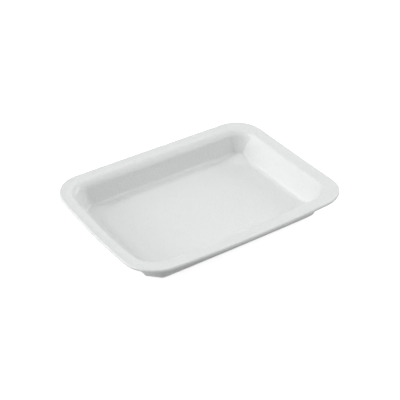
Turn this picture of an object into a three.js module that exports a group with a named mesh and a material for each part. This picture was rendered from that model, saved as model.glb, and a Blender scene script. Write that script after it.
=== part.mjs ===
// A shallow food tray, pressed in one piece from a sheet of foamed polystyrene.
// Millimetres, +Z up. The origin is at the centre of the flat underside.
// The long sides face +Y and -Y, and the short sides face +X and -X.
import * as THREE from 'three';

const { clamp, degToRad, lerp, mapLinear, smoothstep } = THREE.MathUtils;

// Overall size, over the bowed sides and from the underside to the highest part of the rim
const LENGTH = 180;
const WIDTH = 136;
const HEIGHT = 23.5;

// Foam thickness
const FLOOR_THICKNESS = 3;
const WALL_THICKNESS = 2.8;
const RIM_THICKNESS = 2.4;

// Rim: a flat flange that turns up a little towards its rounded edge
const RIM_WIDTH = 7.5;
const RIM_LIFT = 0.8;
const RIM_CORNER_RADIUS = 22.1;

// Each side bows out and dips down towards its middle.
const LONG_SIDE_BOW = 2.3;
const LONG_SIDE_DIP = 1.5;
const SHORT_SIDE_BOW = 2;
const SHORT_SIDE_DIP = 2.5;

// Walls: each runs in by this much from the rim's inner line to its foot
const LONG_WALL_RUN = 9.9;
const SHORT_WALL_RUN = 10.7;
const LONG_SHOULDER_RADIUS = 6.5;
const SHORT_SHOULDER_RADIUS = 3;
const COVE_RADIUS = 5.5;

// Corners: a low facet rises from a straight cut across the floor's corner, under a steep panel
const FLOOR_CORNER_CUT = 20.2;
const FACET_RISE = 3;
const FACET_SLOPE = 15;
const FACET_FOOT_RADIUS = 10;
const FACET_TOP_RADIUS = 2;
const CORNER_SHOULDER_RADIUS = 7;

// How finely the curved stretches are divided
const LONG_SIDE_STEPS = 6;
const SHORT_SIDE_STEPS = 5;
const CORNER_STEPS = 12;
const PROFILE_ARC_STEPS = 12;
const EDGE_STEPS = 8;
const COVE_ANGLES = [0, 20, 40, 60];
const SHOULDER_ANGLES = [60, 50, 40, 30, 20, 12, 5, 0];
const FLANGE_SHARES = [1 / 3, 2 / 3];

// How closely the dip of a side keeps to that side, and the tightest bend of the foam's outer face
const DIP_POWER = 8;
const SMALLEST_RADIUS = 0.4;

// A quarter circle in a square corner takes this share of its radius off the sum x + y.
const ARC_CUT = 2 - Math.SQRT2;

const edgeRadius = RIM_THICKNESS / 2;
const edgeHalfX = LENGTH / 2 - SHORT_SIDE_BOW;
const edgeHalfY = WIDTH / 2 - LONG_SIDE_BOW;
const rimLineHalfX = edgeHalfX - RIM_WIDTH;
const rimLineHalfY = edgeHalfY - RIM_WIDTH;

// A contour is one loop in plan, anticlockwise from the middle of the +X side. Each corner lies
// between two creases, one leg away from where the sides would meet. It is a straight cut at
// roundness 0 and a quarter circle at roundness 1.
const contour = (halfX, halfY, leg, roundness) => {
  const quarter = [];
  for (let k = 0; k < SHORT_SIDE_STEPS; k += 1) {
    quarter.push([halfX, (halfY - leg) * (k / SHORT_SIDE_STEPS)]);
  }
  for (let k = 0; k <= CORNER_STEPS; k += 1) {
    const share = k / CORNER_STEPS;
    const angle = share * (Math.PI / 2);
    const inX = leg * lerp(share, 1 - Math.cos(angle), roundness);
    const inY = leg * lerp(1 - share, 1 - Math.sin(angle), roundness);
    quarter.push([halfX - inX, halfY - inY]);
  }
  for (let k = 1; k <= LONG_SIDE_STEPS; k += 1) {
    quarter.push([(halfX - leg) * (1 - k / LONG_SIDE_STEPS), halfY]);
  }
  const back = [...quarter].reverse();
  const quadrants = [[quarter, 1, 1], [back, -1, 1], [quarter, -1, -1], [back, 1, -1]];
  return quadrants.flatMap(([points, signX, signY]) => (
    points.slice(0, -1).map(([x, y]) => [signX * x, signY * y])
  ));
};

// How far the rim dips at a point of a contour: fully at the middle of a side, not at its ends
const dipAt = (x, y, halfX, halfY) => {
  const alongLong = Math.max(1 - (x / halfX) ** 2, 0) * Math.abs(y / halfY) ** DIP_POWER;
  const alongShort = Math.max(1 - (y / halfY) ** 2, 0) * Math.abs(x / halfX) ** DIP_POWER;
  return LONG_SIDE_DIP * alongLong + SHORT_SIDE_DIP * alongShort;
};

// Bends a level contour to the bowed and dipped sides, by a share that is 0 at a wall's foot and 1
// at the rim
const bend = (points, halfX, halfY, height, share) => points.map(([x, y]) => [
  x + Math.sign(x) * share * SHORT_SIDE_BOW * Math.max(1 - (y / halfY) ** 2, 0),
  y + Math.sign(y) * share * LONG_SIDE_BOW * Math.max(1 - (x / halfX) ** 2, 0),
  height - share * dipAt(x, y, halfX, halfY),
]);

// One loop of the rim, at a distance in from its edge
const rimRing = (inset, height) => {
  const halfX = edgeHalfX - inset;
  const halfY = edgeHalfY - inset;
  return bend(contour(halfX, halfY, RIM_CORNER_RADIUS - inset, 1), halfX, halfY, height, 1);
};

// The rim's highest point is at HEIGHT, and its inner line lies lower by the flange's lift.
const leastDip = -Math.max(...rimRing(edgeRadius, 0).map((point) => point[2]));
const rimLineHeight = HEIGHT + leastDip - RIM_LIFT;

// A wall's profile is a list of sharp points, each at a run outwards and a height, with the radius
// that rounds it. It lies between the level floor and the level rim. The rim's inner line is where
// the top arc ends, so the top point lies inside it by the arc's tangent.
const topTangent = (radius, run, rise) => {
  let tangent = 0;
  for (let pass = 0; pass < 20; pass += 1) {
    const slope = Math.atan2(rise, run - tangent);
    tangent = Math.min(radius * Math.tan(slope / 2), run / 2);
  }
  return tangent;
};

const sideProfile = (rimLineHalf, run, shoulderRadius) => {
  const tangent = topTangent(shoulderRadius, run, rimLineHeight - FLOOR_THICKNESS);
  return [
    { run: rimLineHalf - run, height: FLOOR_THICKNESS, radius: COVE_RADIUS },
    { run: rimLineHalf - tangent, height: rimLineHeight, radius: shoulderRadius },
  ];
};

// A corner's profile runs out along the diagonal.
const cornerProfile = (shortSide, longSide) => {
  const rimLine = (rimLineHalfX + rimLineHalfY - ARC_CUT * (RIM_CORNER_RADIUS - RIM_WIDTH)) / Math.SQRT2;
  const foot = (shortSide[0].run + longSide[0].run - FLOOR_CORNER_CUT) / Math.SQRT2;
  const facetTop = foot + FACET_RISE / Math.tan(degToRad(FACET_SLOPE));
  const facetTopHeight = FLOOR_THICKNESS + FACET_RISE;
  const tangent = topTangent(CORNER_SHOULDER_RADIUS, rimLine - facetTop, rimLineHeight - facetTopHeight);
  return [
    { run: foot, height: FLOOR_THICKNESS, radius: FACET_FOOT_RADIUS },
    { run: facetTop, height: facetTopHeight, radius: FACET_TOP_RADIUS },
    { run: rimLine - tangent, height: rimLineHeight, radius: CORNER_SHOULDER_RADIUS },
  ];
};

// The foam's outer face follows the same profile, with each line moved out by the thickness there.
const outerProfile = (profile) => {
  const lines = [{ point: profile[0], slope: 0, thickness: FLOOR_THICKNESS }];
  for (let i = 0; i + 1 < profile.length; i += 1) {
    const slope = Math.atan2(profile[i + 1].height - profile[i].height, profile[i + 1].run - profile[i].run);
    lines.push({ point: profile[i], slope, thickness: WALL_THICKNESS });
  }
  lines.push({ point: profile.at(-1), slope: 0, thickness: RIM_THICKNESS });
  const moved = lines.map(({ point, slope, thickness }) => ({
    run: point.run + thickness * Math.sin(slope),
    height: point.height - thickness * Math.cos(slope),
    slope,
  }));
  return profile.map((point, i) => {
    const [low, high] = [moved[i], moved[i + 1]];
    const across = (high.run - low.run) * Math.sin(high.slope) - (high.height - low.height) * Math.cos(high.slope);
    const along = across / Math.sin(high.slope - low.slope);
    const growth = high.slope > low.slope ? WALL_THICKNESS : -WALL_THICKNESS;
    return {
      run: low.run + along * Math.cos(low.slope),
      height: low.height + along * Math.sin(low.slope),
      radius: Math.max(point.radius + growth, SMALLEST_RADIUS),
    };
  });
};

// Rounds a profile's points, and returns a function that gives its run at any height. An arc's
// tangents take no more than half of the line that it shares with the next arc.
const runAtHeight = (profile) => {
  const sharp = profile.map(({ run, height }) => new THREE.Vector2(run, height));
  const level = new THREE.Vector2(1, 0);
  const rounded = profile.flatMap(({ radius }, i) => {
    const before = i > 0 ? sharp[i - 1].clone().sub(sharp[i]) : level.clone().negate();
    const after = i + 1 < sharp.length ? sharp[i + 1].clone().sub(sharp[i]) : level.clone();
    const roomBefore = i > 0 ? before.length() / 2 : Infinity;
    const roomAfter = i + 1 < sharp.length ? after.length() / 2 : Infinity;
    before.normalize();
    after.normalize();
    const turn = Math.PI - Math.acos(clamp(before.dot(after), -1, 1));
    const tangent = Math.min(radius * Math.tan(turn / 2), roomBefore, roomAfter);
    const fitted = tangent / Math.tan(turn / 2);
    const inward = before.clone().add(after).normalize();
    const centre = sharp[i].clone().addScaledVector(inward, Math.hypot(fitted, tangent));
    const sense = Math.sign(before.cross(after));
    return Array.from({ length: PROFILE_ARC_STEPS + 1 }, (_, k) => (
      inward.clone().multiplyScalar(-fitted)
        .rotateAround(new THREE.Vector2(), -sense * turn * (k / PROFILE_ARC_STEPS - 0.5))
        .add(centre)
    ));
  });
  return (height) => {
    const next = rounded.findIndex((point) => point.y >= height);
    if (next === 0) return rounded[0].x;
    if (next < 0) return rounded.at(-1).x;
    const [low, high] = [rounded[next - 1], rounded[next]];
    return mapLinear(height, low.y, high.y, low.x, high.x);
  };
};

// Loops of one face of the wall, one at each height. Between the creases a corner changes from a
// straight cut on the facet to the rim's quarter circle.
const wallRings = ([shortSide, longSide, corner], heights) => {
  const [shortRun, longRun, cornerRun] = [shortSide, longSide, corner].map(runAtHeight);
  const bottom = heights[0];
  const top = heights.at(-1);
  return heights.map((height) => {
    const halfX = shortRun(height);
    const halfY = longRun(height);
    const roundness = smoothstep(height, bottom + FACET_RISE, top);
    const cut = halfX + halfY - Math.SQRT2 * cornerRun(height);
    const leg = cut / (1 - (1 - ARC_CUT) * roundness);
    const share = (height - bottom) / (top - bottom);
    return bend(contour(halfX, halfY, leg, roundness), halfX, halfY, height, share);
  });
};

// How far an arc has risen where it has turned from level by an angle in degrees
const arcRise = (radius, angle) => radius * (1 - Math.cos(degToRad(angle)));

// The heights of a face's loops: close together in its arcs and at the facet's top
const faceHeights = (bottom, top, coveRadius, shoulderRadius) => {
  const cove = COVE_ANGLES.map((angle) => bottom + arcRise(coveRadius, angle));
  const shoulder = SHOULDER_ANGLES.map((angle) => top - arcRise(shoulderRadius, angle));
  const facetTop = bottom + FACET_RISE;
  const halfArc = FACET_TOP_RADIUS / 2;
  const wall = [facetTop, facetTop + halfArc, (facetTop + shoulder[0]) / 2];
  return [...cove, ...wall, ...shoulder].sort((a, b) => a - b);
};

const shortSide = sideProfile(rimLineHalfX, SHORT_WALL_RUN, SHORT_SHOULDER_RADIUS);
const longSide = sideProfile(rimLineHalfY, LONG_WALL_RUN, LONG_SHOULDER_RADIUS);
const innerProfiles = [shortSide, longSide, cornerProfile(shortSide, longSide)];

const innerRings = wallRings(
  innerProfiles,
  faceHeights(FLOOR_THICKNESS, rimLineHeight, COVE_RADIUS, CORNER_SHOULDER_RADIUS),
);
const outerRings = wallRings(
  innerProfiles.map(outerProfile),
  faceHeights(
    0,
    rimLineHeight - RIM_THICKNESS,
    COVE_RADIUS + FLOOR_THICKNESS,
    CORNER_SHOULDER_RADIUS - RIM_THICKNESS,
  ),
);

// The flange, from the rim's inner line to where its rounded edge starts, on one side of its middle
const flangeMiddle = (share) => rimLineHeight - edgeRadius + RIM_LIFT * share ** 2;
const flangeRings = (side) => FLANGE_SHARES.map((share) => (
  rimRing(lerp(RIM_WIDTH, edgeRadius, share), flangeMiddle(share) + side * edgeRadius)
));
const edgeRings = Array.from({ length: EDGE_STEPS + 1 }, (_, k) => {
  const angle = Math.PI * (k / EDGE_STEPS);
  return rimRing(edgeRadius * (1 - Math.sin(angle)), flangeMiddle(1) + edgeRadius * Math.cos(angle));
});

// One closed skin over the loops, from a middle point in the first to a middle point in the last
const skin = (rings, firstMiddle, lastMiddle) => {
  const size = rings[0].length;
  const first = rings.length * size;
  const last = first + 1;
  const end = first - size;
  const indices = [];
  for (let k = 0; k < size; k += 1) {
    const next = (k + 1) % size;
    indices.push(first, k, next);
    for (let low = 0; low < end; low += size) {
      const high = low + size;
      indices.push(low + k, high + k, high + next);
      indices.push(low + k, high + next, low + next);
    }
    indices.push(end + k, last, end + next);
  }
  const geometry = new THREE.BufferGeometry();
  const positions = [...rings.flat(2), ...firstMiddle, ...lastMiddle];
  geometry.setAttribute('position', new THREE.Float32BufferAttribute(positions, 3));
  geometry.setIndex(indices);
  geometry.computeVertexNormals();
  return geometry;
};

// From the floor up the inside, over the rim and down the outside to the underside
const trayRings = [
  ...innerRings,
  ...flangeRings(1),
  ...edgeRings,
  ...flangeRings(-1).reverse(),
  ...outerRings.reverse(),
];
const foam = new THREE.MeshStandardMaterial({ color: 0xeef1f0, roughness: 0.55, metalness: 0 });
const tray = new THREE.Mesh(skin(trayRings, [0, 0, FLOOR_THICKNESS], [0, 0, 0]), foam);
tray.name = 'foam_tray';

const group = new THREE.Group();
group.add(tray);

export default group;
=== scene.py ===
import math

import bpy
import numpy as np
from mathutils import Matrix, Vector


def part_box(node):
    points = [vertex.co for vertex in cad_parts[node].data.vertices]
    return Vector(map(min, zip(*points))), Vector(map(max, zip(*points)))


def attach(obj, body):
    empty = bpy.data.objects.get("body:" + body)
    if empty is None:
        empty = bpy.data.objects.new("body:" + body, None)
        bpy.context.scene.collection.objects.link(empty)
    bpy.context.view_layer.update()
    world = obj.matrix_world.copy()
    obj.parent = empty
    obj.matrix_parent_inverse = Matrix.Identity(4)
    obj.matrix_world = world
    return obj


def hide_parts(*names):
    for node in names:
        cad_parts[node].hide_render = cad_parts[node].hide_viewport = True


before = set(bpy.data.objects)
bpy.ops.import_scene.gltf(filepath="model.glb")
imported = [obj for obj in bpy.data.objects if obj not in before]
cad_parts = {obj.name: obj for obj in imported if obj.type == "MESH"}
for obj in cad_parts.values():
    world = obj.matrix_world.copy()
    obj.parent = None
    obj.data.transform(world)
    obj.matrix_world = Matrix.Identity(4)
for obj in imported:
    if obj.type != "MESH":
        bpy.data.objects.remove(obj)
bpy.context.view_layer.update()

MM = 0.001

# Overall size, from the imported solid
tray_low, tray_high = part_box("foam_tray")
LENGTH = (tray_high.x - tray_low.x) / MM
WIDTH = (tray_high.y - tray_low.y) / MM
HEIGHT = (tray_high.z - tray_low.z) / MM

# Foam thickness
FLOOR_THICKNESS = 3.0
WALL_THICKNESS = 2.8
RIM_THICKNESS = 2.4

# Rim
RIM_WIDTH = 7.5
RIM_LIFT = 0.8
RIM_CORNER_RADIUS = 22.1
LONG_SIDE_BOW = 2.3
LONG_SIDE_DIP = 1.5
SHORT_SIDE_BOW = 2.0
SHORT_SIDE_DIP = 2.5

# Walls and corners
LONG_WALL_RUN = 9.9
SHORT_WALL_RUN = 10.7
LONG_SHOULDER_RADIUS = 6.5
SHORT_SHOULDER_RADIUS = 3.0
COVE_RADIUS = 5.5
FLOOR_CORNER_CUT = 20.2
FACET_RISE = 3.0
FACET_SLOPE = 15.0
FACET_FOOT_RADIUS = 10.0
FACET_TOP_RADIUS = 2.0
CORNER_SHOULDER_RADIUS = 7.0

# How closely the dip keeps to the sides, the least radius of a bend, how much of its radius a round
# corner cuts off along the diagonal, and how far the floor's creases are rounded
DIP_POWER = 8
SMALLEST_RADIUS = 0.4
ARC_CUT = 2 - math.sqrt(2)
CREASE_SOFTNESS = 0.8

# Fineness of the mesh. Loops lie at these angles of the cove and the shoulder, at these distances
# from the facet's top, and at these shares of the flange's width and of the floor's size.
RING_POINTS = 384
CORNER_STEPS = 48
SIDE_STEPS = 24
ARC_STEPS = 24
EDGE_LOOPS = 17
COVE_ANGLES = np.arange(0, 67, 5.5)
SHOULDER_ANGLES = np.arange(0, 71, 3.5)
FACET_TOP_LOOPS = np.arange(-0.6, 0.7, 0.15)
FLANGE_SHARES = np.arange(0.08, 0.99, 0.08)
FLOOR_SHARES = (0.02, 0.35, 0.7, 0.92, 0.985)
WALL_SPACING = 0.9
LEAST_SPACING = 0.01

edge_radius = RIM_THICKNESS / 2
edge_half = np.array([LENGTH / 2 - SHORT_SIDE_BOW, WIDTH / 2 - LONG_SIDE_BOW])
rim_line_half = edge_half - RIM_WIDTH


def contour(half_x, half_y, leg, roundness):
    """One loop in plan, anticlockwise from the middle of the +X side, evenly spaced."""
    side = np.linspace(0, 1, SIDE_STEPS, endpoint=False)
    share = np.linspace(0, 1, CORNER_STEPS + 1)
    angle = share * math.pi / 2
    in_x = leg * ((1 - roundness) * share + roundness * (1 - np.cos(angle)))
    in_y = leg * ((1 - roundness) * (1 - share) + roundness * (1 - np.sin(angle)))
    short = np.column_stack([np.full(SIDE_STEPS, half_x), (half_y - leg) * side])
    corner = np.column_stack([half_x - in_x, half_y - in_y])
    long = np.column_stack([(half_x - leg) * (1 - side[1:]), np.full(SIDE_STEPS - 1, half_y)])
    quarter = np.vstack([short, corner, long, [[0, half_y]]])
    back = quarter[::-1]
    loop = np.vstack([
        quarter[:-1], back[:-1] * [-1, 1], quarter[:-1] * [-1, -1], back[:-1] * [1, -1],
    ])
    closed = np.vstack([loop, loop[:1]])
    along = np.concatenate([[0], np.cumsum(np.hypot(*np.diff(closed, axis=0).T))])
    even = np.linspace(0, along[-1], RING_POINTS, endpoint=False)
    return np.column_stack([np.interp(even, along, closed[:, k]) for k in (0, 1)]), along[-1]


def soften(points, length, reach):
    """Rounds the creases of an even loop, in the way that pressed foam does."""
    spectrum = np.fft.fft(points[:, 0] + 1j * points[:, 1])
    pace = np.fft.fftfreq(len(points), length / len(points))
    smooth = np.fft.ifft(spectrum * np.exp(-2 * (math.pi * pace * reach) ** 2))
    return np.column_stack([smooth.real, smooth.imag])


def bend(points, half, height, share):
    """Bows a level loop out and dips it down along each side, by a share that is 1 at the rim."""
    x, y = points.T
    across_x = np.clip(1 - (x / half[0]) ** 2, 0, None)
    across_y = np.clip(1 - (y / half[1]) ** 2, 0, None)
    dip = (
        LONG_SIDE_DIP * across_x * np.abs(y / half[1]) ** DIP_POWER
        + SHORT_SIDE_DIP * across_y * np.abs(x / half[0]) ** DIP_POWER
    )
    return np.column_stack([
        x + np.sign(x) * share * SHORT_SIDE_BOW * across_y,
        y + np.sign(y) * share * LONG_SIDE_BOW * across_x,
        height - share * dip,
    ])


def rim_ring(inset, height):
    """One loop of the rim at an inset from its outermost line."""
    half = edge_half - inset
    points, _ = contour(*half, RIM_CORNER_RADIUS - inset, 1)
    return bend(points, half, height, 1)


least_dip = -rim_ring(edge_radius, 0)[:, 2].max()
rim_line_height = HEIGHT + least_dip - RIM_LIFT


def top_tangent(radius, run, rise):
    """How far a shoulder's bend reaches in from the rim line, found by repetition."""
    tangent = 0.0
    for _ in range(20):
        slope = math.atan2(rise, run - tangent)
        tangent = min(radius * math.tan(slope / 2), run / 2)
    return tangent


def side_profile(half, run, shoulder_radius):
    """Sharp points of a wall's profile: run outwards, height and the radius that rounds it."""
    tangent = top_tangent(shoulder_radius, run, rim_line_height - FLOOR_THICKNESS)
    return [
        (half - run, FLOOR_THICKNESS, COVE_RADIUS),
        (half - tangent, rim_line_height, shoulder_radius),
    ]


def corner_profile(short_side, long_side):
    """The same along a corner's diagonal: a low facet under a steep panel."""
    rim_line = (rim_line_half.sum() - ARC_CUT * (RIM_CORNER_RADIUS - RIM_WIDTH)) / math.sqrt(2)
    foot = (short_side[0][0] + long_side[0][0] - FLOOR_CORNER_CUT) / math.sqrt(2)
    facet_top = foot + FACET_RISE / math.tan(math.radians(FACET_SLOPE))
    facet_top_height = FLOOR_THICKNESS + FACET_RISE
    tangent = top_tangent(
        CORNER_SHOULDER_RADIUS, rim_line - facet_top, rim_line_height - facet_top_height
    )
    return [
        (foot, FLOOR_THICKNESS, FACET_FOOT_RADIUS),
        (facet_top, facet_top_height, FACET_TOP_RADIUS),
        (rim_line - tangent, rim_line_height, CORNER_SHOULDER_RADIUS),
    ]


def outer_profile(profile):
    """The foam's outer face: each line of the profile moved out by the thickness there."""
    lines = [(profile[0], 0.0, FLOOR_THICKNESS)]
    for low, high in zip(profile, profile[1:]):
        lines.append((low, math.atan2(high[1] - low[1], high[0] - low[0]), WALL_THICKNESS))
    lines.append((profile[-1], 0.0, RIM_THICKNESS))
    moved = [
        (point[0] + thickness * math.sin(slope), point[1] - thickness * math.cos(slope), slope)
        for point, slope, thickness in lines
    ]
    outer = []
    for point, low, high in zip(profile, moved, moved[1:]):
        across = (high[0] - low[0]) * math.sin(high[2]) - (high[1] - low[1]) * math.cos(high[2])
        along = across / math.sin(high[2] - low[2])
        growth = WALL_THICKNESS if high[2] > low[2] else -WALL_THICKNESS
        outer.append((
            low[0] + along * math.cos(low[2]),
            low[1] + along * math.sin(low[2]),
            max(point[2] + growth, SMALLEST_RADIUS),
        ))
    return outer


def run_at(profile, heights):
    """Rounds a profile's points and gives its run at each height."""
    sharp = [Vector(point[:2]) for point in profile]
    rounded = []
    for i, (_, _, radius) in enumerate(profile):
        before = sharp[i - 1] - sharp[i] if i else Vector((-1, 0))
        after = sharp[i + 1] - sharp[i] if i + 1 < len(sharp) else Vector((1, 0))
        room = [before.length / 2 if i else math.inf]
        room.append(after.length / 2 if i + 1 < len(sharp) else math.inf)
        before.normalize()
        after.normalize()
        turn = math.pi - math.acos(max(-1.0, min(1.0, before.dot(after))))
        tangent = min(radius * math.tan(turn / 2), *room)
        fitted = tangent / math.tan(turn / 2)
        inward = (before + after).normalized()
        centre = sharp[i] + inward * math.hypot(fitted, tangent)
        sense = math.copysign(1, before.x * after.y - before.y * after.x)
        for k in range(ARC_STEPS + 1):
            step = Matrix.Rotation(-sense * turn * (k / ARC_STEPS - 0.5), 2)
            rounded.append(centre + step @ (-fitted * inward))
    return np.interp(heights, [p.y for p in rounded], [p.x for p in rounded])


def wall_rings(profiles, heights):
    """Loops of one face of the wall, one at each height."""
    bottom, top = heights[0], heights[-1]
    short_run, long_run, corner_run = (run_at(profile, heights) for profile in profiles)
    rings = []
    for i, height in enumerate(heights):
        half = np.array([short_run[i], long_run[i]])
        part = min(max((height - bottom - FACET_RISE) / (top - bottom - FACET_RISE), 0), 1)
        roundness = part * part * (3 - 2 * part)
        leg = (half.sum() - math.sqrt(2) * corner_run[i]) / (1 - (1 - ARC_CUT) * roundness)
        share = (height - bottom) / (top - bottom)
        points, length = contour(*half, leg, roundness)
        points = soften(points, length, CREASE_SOFTNESS * (1 - share))
        rings.append(bend(points, half, height, share))
    return rings


def arc_heights(radius, angles):
    """Rises of a bend at angles from its flat start."""
    return radius * (1 - np.cos(np.radians(angles)))


def face_heights(bottom, top, cove_radius, shoulder_radius):
    """Heights of the loops up one face, close together where it bends."""
    cove = bottom + arc_heights(cove_radius, COVE_ANGLES)
    shoulder = top - arc_heights(shoulder_radius, SHOULDER_ANGLES)
    facet = bottom + FACET_RISE + FACET_TOP_LOOPS
    wall = np.arange(max(cove[-1], facet[-1]) + 0.8, shoulder[-1] - 0.4, WALL_SPACING)
    heights = np.sort(np.concatenate([cove, facet, wall, shoulder]))
    keep = np.concatenate([[True], np.diff(heights) > LEAST_SPACING])
    keep[-1] = True
    return heights[keep]


short_side = side_profile(rim_line_half[0], SHORT_WALL_RUN, SHORT_SHOULDER_RADIUS)
long_side = side_profile(rim_line_half[1], LONG_WALL_RUN, LONG_SHOULDER_RADIUS)
inner_profiles = [short_side, long_side, corner_profile(short_side, long_side)]
outer_profiles = [outer_profile(profile) for profile in inner_profiles]
inner_rings = wall_rings(
    inner_profiles,
    face_heights(FLOOR_THICKNESS, rim_line_height, COVE_RADIUS, CORNER_SHOULDER_RADIUS),
)
outer_rings = wall_rings(
    outer_profiles,
    face_heights(
        0,
        rim_line_height - RIM_THICKNESS,
        COVE_RADIUS + FLOOR_THICKNESS,
        CORNER_SHOULDER_RADIUS - RIM_THICKNESS,
    ),
)


def flange_rings(side):
    """The flange from the rim's inner line to its rounded edge, on one side of its middle."""
    rings = []
    for share in FLANGE_SHARES:
        middle = rim_line_height - edge_radius + RIM_LIFT * share**2
        inset = RIM_WIDTH + (edge_radius - RIM_WIDTH) * share
        rings.append(rim_ring(inset, middle + side * edge_radius))
    return rings


edge_middle = rim_line_height - edge_radius + RIM_LIFT
edge_rings = [
    rim_ring(edge_radius * (1 - math.sin(angle)), edge_middle + edge_radius * math.cos(angle))
    for angle in np.linspace(0, math.pi, EDGE_LOOPS)
]


def flat_rings(ring):
    """Loops that close the flat floor or underside, drawn in towards its middle."""
    return [ring * [share, share, 1] for share in FLOOR_SHARES]


tray_rings = [
    *flat_rings(inner_rings[0]),
    *inner_rings,
    *flange_rings(1),
    *edge_rings,
    *flange_rings(-1)[::-1],
    *outer_rings[::-1],
    *flat_rings(outer_rings[0])[::-1],
]


def skin(name, rings):
    """One closed smooth skin over the loops."""
    vertices = np.vstack(rings) * MM
    size = len(rings[0])
    faces = [list(range(size))]
    for low in range(0, (len(rings) - 1) * size, size):
        for k in range(size):
            following = (k + 1) % size
            faces.append([low + k, low + size + k, low + size + following, low + following])
    faces.append([len(vertices) - 1 - k for k in range(size)])
    mesh = bpy.data.meshes.new(name)
    mesh.from_pydata(vertices.tolist(), [], faces)
    mesh.update()
    mesh.polygons.foreach_set("use_smooth", [True] * len(mesh.polygons))
    obj = bpy.data.objects.new(name, mesh)
    bpy.context.scene.collection.objects.link(obj)
    return obj


tray = skin("tray_skin", tray_rings)


# Materials. The scales are in features per metre or so, and the relief is in metres.
FOAM_COLOUR = (0.765, 0.782, 0.773, 1.0)
FOAM_SHADE = (0.74, 0.757, 0.748, 1.0)
FOAM_ROUGHNESS = (0.24, 0.34)
FOAM_IOR = 1.5
CELL_SCALE = 1100
GRAIN_SCALE = 650
MOTTLE_SCALE = 450
RELIEF_STRENGTH = 0.85
RELIEF_HEIGHT = 0.00022
FLOOR_COLOUR = (0.5, 0.5, 0.5, 1)
FLOOR_GLOW = 0.84
WORLD_LIGHT = 0.155


def new_material(name):
    """An empty material with its nodes and links."""
    material = bpy.data.materials.new(name)
    material.use_nodes = True
    material.node_tree.nodes.clear()
    return material, material.node_tree.nodes, material.node_tree.links


def seen_as_background(nodes, links):
    """1 for rays from the camera, a reflection or a clear material, and 0 for light on the tray."""
    rays = nodes.new("ShaderNodeLightPath")
    total = rays.outputs["Is Camera Ray"]
    for kind in ("Is Glossy Ray", "Is Transmission Ray"):
        added = nodes.new("ShaderNodeMath")
        added.operation = "ADD"
        added.use_clamp = True
        links.new(total, added.inputs[0])
        links.new(rays.outputs[kind], added.inputs[1])
        total = added.outputs["Value"]
    return total


def foam_material():
    """Foamed polystyrene: a satin skin over fine closed cells, faintly uneven in tone."""
    material, nodes, links = new_material("white_foam")
    output = nodes.new("ShaderNodeOutputMaterial")
    surface = nodes.new("ShaderNodeBsdfPrincipled")
    links.new(surface.outputs["BSDF"], output.inputs["Surface"])
    place = nodes.new("ShaderNodeTexCoord")

    cells = nodes.new("ShaderNodeTexVoronoi")
    cells.inputs["Scale"].default_value = CELL_SCALE
    links.new(place.outputs["Object"], cells.inputs["Vector"])
    grain = nodes.new("ShaderNodeTexNoise")
    grain.inputs["Scale"].default_value = GRAIN_SCALE
    grain.inputs["Detail"].default_value = 3
    links.new(place.outputs["Object"], grain.inputs["Vector"])
    mottle = nodes.new("ShaderNodeTexNoise")
    mottle.inputs["Scale"].default_value = MOTTLE_SCALE
    mottle.inputs["Detail"].default_value = 2
    links.new(place.outputs["Object"], mottle.inputs["Vector"])

    tone = nodes.new("ShaderNodeMix")
    tone.data_type = "RGBA"
    tone.inputs["A"].default_value = FOAM_SHADE
    tone.inputs["B"].default_value = FOAM_COLOUR
    links.new(mottle.outputs["Fac"], tone.inputs["Factor"])
    links.new(tone.outputs["Result"], surface.inputs["Base Color"])

    rough = nodes.new("ShaderNodeMapRange")
    rough.inputs["To Min"].default_value, rough.inputs["To Max"].default_value = FOAM_ROUGHNESS
    links.new(grain.outputs["Fac"], rough.inputs["Value"])
    links.new(rough.outputs["Result"], surface.inputs["Roughness"])
    surface.inputs["IOR"].default_value = FOAM_IOR

    swell = nodes.new("ShaderNodeMath")
    swell.operation = "ADD"
    links.new(cells.outputs["Distance"], swell.inputs[0])
    links.new(grain.outputs["Fac"], swell.inputs[1])
    relief = nodes.new("ShaderNodeBump")
    relief.inputs["Strength"].default_value = RELIEF_STRENGTH
    relief.inputs["Distance"].default_value = RELIEF_HEIGHT
    links.new(swell.outputs["Value"], relief.inputs["Height"])
    links.new(relief.outputs["Normal"], surface.inputs["Normal"])
    return material


def floor_material():
    """A plain white floor. It keeps the tray's shadow, and shows white to the camera."""
    material, nodes, links = new_material("white_floor")
    output = nodes.new("ShaderNodeOutputMaterial")
    both = nodes.new("ShaderNodeAddShader")
    paper = nodes.new("ShaderNodeBsdfDiffuse")
    paper.inputs["Color"].default_value = FLOOR_COLOUR
    glow = nodes.new("ShaderNodeEmission")
    level = nodes.new("ShaderNodeMath")
    level.operation = "MULTIPLY"
    level.inputs[1].default_value = FLOOR_GLOW
    links.new(seen_as_background(nodes, links), level.inputs[0])
    links.new(level.outputs["Value"], glow.inputs["Strength"])
    links.new(paper.outputs["BSDF"], both.inputs[0])
    links.new(glow.outputs["Emission"], both.inputs[1])
    links.new(both.outputs["Shader"], output.inputs["Surface"])
    return material


tray.data.materials.append(foam_material())
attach(tray, "root")
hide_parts("foam_tray")

# A plain white floor under the tray
FLOOR_HALF = 3.0
floor_mesh = bpy.data.meshes.new("floor")
floor_mesh.from_pydata(
    [(x * FLOOR_HALF, y * FLOOR_HALF, 0) for x, y in ((-1, -1), (1, -1), (1, 1), (-1, 1))],
    [],
    [(0, 1, 2, 3)],
)
floor = bpy.data.objects.new("floor", floor_mesh)
bpy.context.scene.collection.objects.link(floor)
floor.data.materials.append(floor_material())
floor.location.z = tray_low.z

# The camera stands where the photographer's did. The turn is from the -Y side, in degrees, and the
# aim is on the plane through the middle of the rim's edge. Reach and offsets are in millimetres.
CAMERA_TURN = -34.246
CAMERA_RISE = 34.602
CAMERA_REACH = 752.6
CAMERA_ASIDE = 0.230
CAMERA_ALOFT = -7.624
LENS = 93.31
SENSOR = 36.0

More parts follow.
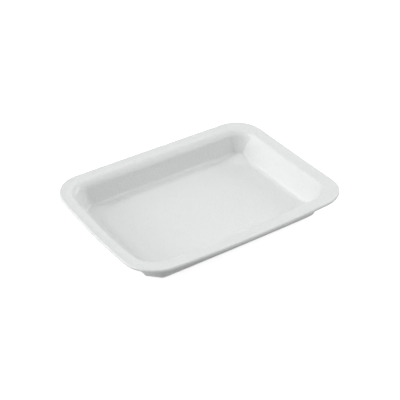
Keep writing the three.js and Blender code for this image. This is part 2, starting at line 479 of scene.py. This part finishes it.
turn, rise = math.radians(CAMERA_TURN), math.radians(CAMERA_RISE)
away = Vector((
    math.sin(turn) * math.cos(rise), -math.cos(turn) * math.cos(rise), math.sin(rise),
))
aside = Vector((math.cos(turn), math.sin(turn), 0))
aloft = away.cross(aside)
aim = Vector((0, 0, HEIGHT + least_dip - edge_radius))
eye = (aim + away * CAMERA_REACH + aside * CAMERA_ASIDE + aloft * CAMERA_ALOFT) * MM
camera_data = bpy.data.cameras.new("camera")
camera_data.lens = LENS
camera_data.sensor_width = SENSOR
camera_data.clip_start = 0.05
camera_data.clip_end = 20
camera = bpy.data.objects.new("camera", camera_data)
bpy.context.scene.collection.objects.link(camera)
camera.matrix_world = Matrix.Translation(eye) @ Matrix((aside, aloft, away)).transposed().to_4x4()
bpy.context.scene.camera = camera


def softbox(name, azimuth, elevation, distance, size, watts):
    """A square lamp that faces the tray, at an azimuth from +X and an elevation seen from it."""
    lamp_data = bpy.data.lights.new(name, "AREA")
    lamp_data.shape = "SQUARE"
    lamp_data.size = size
    lamp_data.energy = watts
    lamp = bpy.data.objects.new(name, lamp_data)
    bpy.context.scene.collection.objects.link(lamp)
    around, above = math.radians(azimuth), math.radians(elevation)
    towards = Vector((
        math.cos(around) * math.cos(above), math.sin(around) * math.cos(above), math.sin(above),
    ))
    lamp.location = towards * distance
    lamp.rotation_euler = towards.to_track_quat("Z", "Y").to_euler()


# Softboxes, mostly at both sides of the camera's line, with one above and behind the tray
LAMP_DISTANCE = 1.2
LAMP_SIZE = 0.4
for lamp_name, azimuth, elevation, watts in (
    ("left_high", 144, 42, 5.2),
    ("left_low", 169, 20, 4.4),
    ("back_left_low", 130, 20, 2.5),
    ("right_high", 316, 43, 3.7),
    ("right_low", 16, 22, 3.6),
    ("front_right_low", 310, 20, 1.2),
    ("front_high", 285, 45, 1.0),
    ("top", 56, 64, 1.6),
):
    softbox(lamp_name, azimuth, elevation, LAMP_DISTANCE, LAMP_SIZE, watts)

world = bpy.data.worlds.new("studio")
bpy.context.scene.world = world
world.use_nodes = True
backdrop = world.node_tree.nodes["Background"]
backdrop.inputs["Color"].default_value = (1, 1, 1, 1)
# The world is seen as white, and lights the tray with a part of that.
world_nodes, world_links = world.node_tree.nodes, world.node_tree.links
world_level = world_nodes.new("ShaderNodeMapRange")
world_level.inputs["To Min"].default_value = WORLD_LIGHT
world_level.inputs["To Max"].default_value = 1.0
world_links.new(seen_as_background(world_nodes, world_links), world_level.inputs["Value"])
world_links.new(world_level.outputs["Result"], backdrop.inputs["Strength"])
bpy.context.scene.view_settings.view_transform = "Standard"
